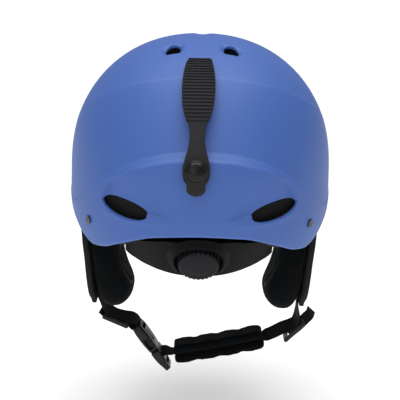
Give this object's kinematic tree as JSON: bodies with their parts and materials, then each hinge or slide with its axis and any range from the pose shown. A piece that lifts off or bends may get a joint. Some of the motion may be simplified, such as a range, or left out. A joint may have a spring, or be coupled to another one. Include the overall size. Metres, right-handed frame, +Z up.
{
  "type": "ski helmet",
  "caption": "Blue hard-shell ski helmet with vents, a rear goggle clip, dial-adjusted cradle, soft ear pads and a buckled chin strap with a quilted chin pad.",
  "frame": {"origin": "centre of the flat underside of the crown pad, where the top of the wearer's head rests", "axes": "+X to the wearer's right, +Y forward out of the face opening, +Z up"},
  "size_m": [0.216, 0.2883, 0.2901],
  "materials": {
    "shell_blue": "matte injection-moulded ABS, fine spray texture",
    "foam_black": "moulded bead foam, dark",
    "vent_mesh": "fine dark mesh",
    "rivet_dark": "dark lacquered",
    "rubber_strap": "matte moulded rubber",
    "snap_plastic": "gloss black",
    "cradle_plastic": "satin black",
    "dial_plastic": "satin dark grey",
    "fleece": "black brushed fleece over foam",
    "flap_fabric": "black woven fabric over foam",
    "webbing": "black polyester webbing",
    "buckle_plastic": "satin black acetal"
  },
  "bodies": {
    "root": {"shell_outer": "shell_blue", "liner_foam": "foam_black", "vent_mesh_rear_left": "vent_mesh", "vent_mesh_rear_right": "vent_mesh", "vent_mesh_top_left": "vent_mesh", "vent_mesh_top_right": "vent_mesh", "vent_mesh_front_left": "vent_mesh", "vent_mesh_front_right": "vent_mesh", "shell_rivet_left": "rivet_dark", "shell_rivet_right": "rivet_dark", "snap_stud": "rivet_dark", "clip_anchor": "snap_plastic", "side_belt_left": "cradle_plastic", "side_belt_right": "cradle_plastic", "crown_pad": "fleece", "headband_pad_rear": "fleece", "headband_pad_front": "fleece", "ear_cushion_left": "fleece", "ear_cushion_right": "fleece", "ear_flap_left": "flap_fabric", "ear_flap_right": "flap_fabric", "webbing_left": "webbing", "webbing_right": "webbing", "webbing_link": "webbing", "webbing_tail": "webbing", "strap_hanger_left": "buckle_plastic", "strap_hanger_right": "buckle_plastic", "adjuster_left": "buckle_plastic", "adjuster_right": "buckle_plastic", "buckle_socket": "buckle_plastic"},
    "goggle_clip_strap": {"goggle_clip": "rubber_strap", "snap_cap": "snap_plastic", "snap_socket": "snap_plastic"},
    "cradle": {"cradle_shell": "cradle_plastic", "cradle_cover": "cradle_plastic", "cradle_pad": "fleece", "dial_housing": "cradle_plastic", "dial_detent": "rivet_dark"},
    "dial": {"dial_knob": "dial_plastic", "dial_pinion": "cradle_plastic"},
    "arm_left": {"belt_arm_left": "cradle_plastic"},
    "arm_right": {"belt_arm_right": "cradle_plastic"},
    "plug_side": {"buckle_plug": "buckle_plastic", "webbing_chin": "webbing", "chin_pad_upper": "fleece", "chin_pad_lower": "fleece"},
    "latch_b": {"latch_back": "buckle_plastic"},
    "latch_f": {"latch_front": "buckle_plastic"}
  },
  "joints": [
    {"name": "goggle_clip_lift", "type": "hinge", "parent": "root", "child": "goggle_clip_strap", "pos_m": [0, -0.07223, 0.02112], "axis": [-1, 0, 0], "range_deg": [0, 95]},
    {"name": "cradle_tilt", "type": "hinge", "parent": "root", "child": "cradle", "pos_m": [0, -0.072, -0.116], "axis": [1, 0, 0], "range_deg": [-2.5, 4]},
    {"name": "dial_turn", "type": "hinge", "parent": "cradle", "child": "dial", "pos_m": [0, -0.10199, -0.1315], "axis": [0, -0.809, -0.5878], "range_deg": [-150, 150]},
    {"name": "belt_arm_left_slide", "type": "hinge", "parent": "cradle", "child": "arm_left", "pos_m": [0, -0.049, -0.093], "axis": [0, -0.5878, 0.809], "range_deg": [-12, 12]},
    {"name": "belt_arm_right_slide", "type": "hinge", "parent": "cradle", "child": "arm_right", "pos_m": [0, -0.049, -0.093], "axis": [0, -0.5878, 0.809], "range_deg": [-12, 12]},
    {"name": "buckle_release", "type": "slide", "parent": "root", "child": "plug_side", "axis": [0.5983, 0, -0.8013], "range_m": [0, 0.016], "deforming": ["webbing_link"]},
    {"name": "latch_back_press", "type": "hinge", "parent": "plug_side", "child": "latch_b", "pos_m": [-0.03659, -0.0082, -0.23981], "axis": [-0.8013, 0, -0.5983], "range_deg": [0, 5]},
    {"name": "latch_front_press", "type": "hinge", "parent": "plug_side", "child": "latch_f", "pos_m": [-0.03659, 0.0042, -0.23981], "axis": [0.8013, 0, 0.5983], "range_deg": [0, 5]}
  ],
  "couplings": [
    {"joint": "belt_arm_left_slide", "follows": "dial_turn", "ratio": -0.076336},
    {"joint": "belt_arm_right_slide", "follows": "dial_turn", "ratio": 0.076336}
  ]
}
